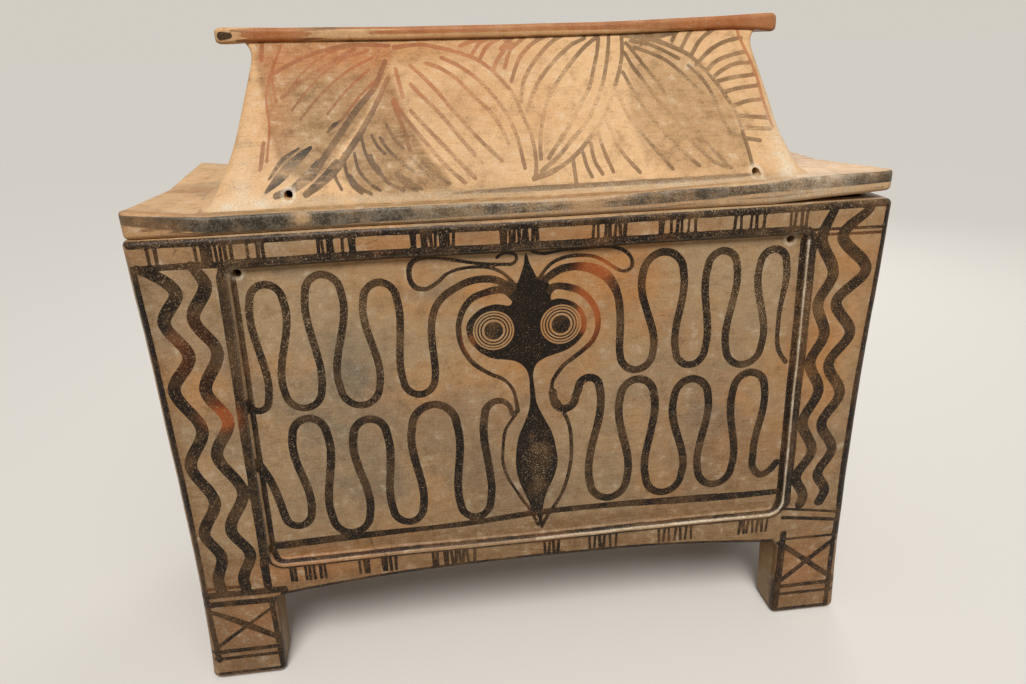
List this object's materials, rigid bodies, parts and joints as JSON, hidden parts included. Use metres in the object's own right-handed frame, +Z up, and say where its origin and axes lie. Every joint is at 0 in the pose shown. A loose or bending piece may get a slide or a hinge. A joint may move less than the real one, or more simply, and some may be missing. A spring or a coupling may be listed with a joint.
{
  "type": "larnax",
  "caption": "Oblong clay chest coffin on short square legs, with framed recessed panels, tie holes and a lift-off gabled lid under a ridge plank.",
  "frame": {"origin": "middle of the footprint, on the plane that the four feet stand on", "axes": "+X along the chest's length towards its right end, +Y from the painted front towards the back, +Z up"},
  "size_m": [1.0832, 0.462, 0.9978],
  "materials": {
    "chest_clay": "burnished grey-buff terracotta with dark slip painting",
    "lid_clay": "burnished light buff terracotta with brown to orange slip painting"
  },
  "bodies": {
    "chest": {"front_panel": "chest_clay", "front_rail": "chest_clay", "front_sill": "chest_clay", "back_panel": "chest_clay", "back_rail": "chest_clay", "back_sill": "chest_clay", "left_panel": "chest_clay", "left_rail": "chest_clay", "left_sill": "chest_clay", "right_panel": "chest_clay", "right_rail": "chest_clay", "right_sill": "chest_clay", "front_left_post": "chest_clay", "front_right_post": "chest_clay", "back_left_post": "chest_clay", "back_right_post": "chest_clay", "chest_floor": "chest_clay"},
    "lid": {"front_slab": "lid_clay", "back_slab": "lid_clay", "left_slab": "lid_clay", "right_slab": "lid_clay", "front_slope": "lid_clay", "back_slope": "lid_clay", "left_gable": "lid_clay", "right_gable": "lid_clay", "ridge": "lid_clay"}
  },
  "joints": [
    {"name": "lid_lift", "type": "slide", "parent": "chest", "child": "lid", "axis": [0, 0, 1], "range_m": [0, 0.35]}
  ]
}
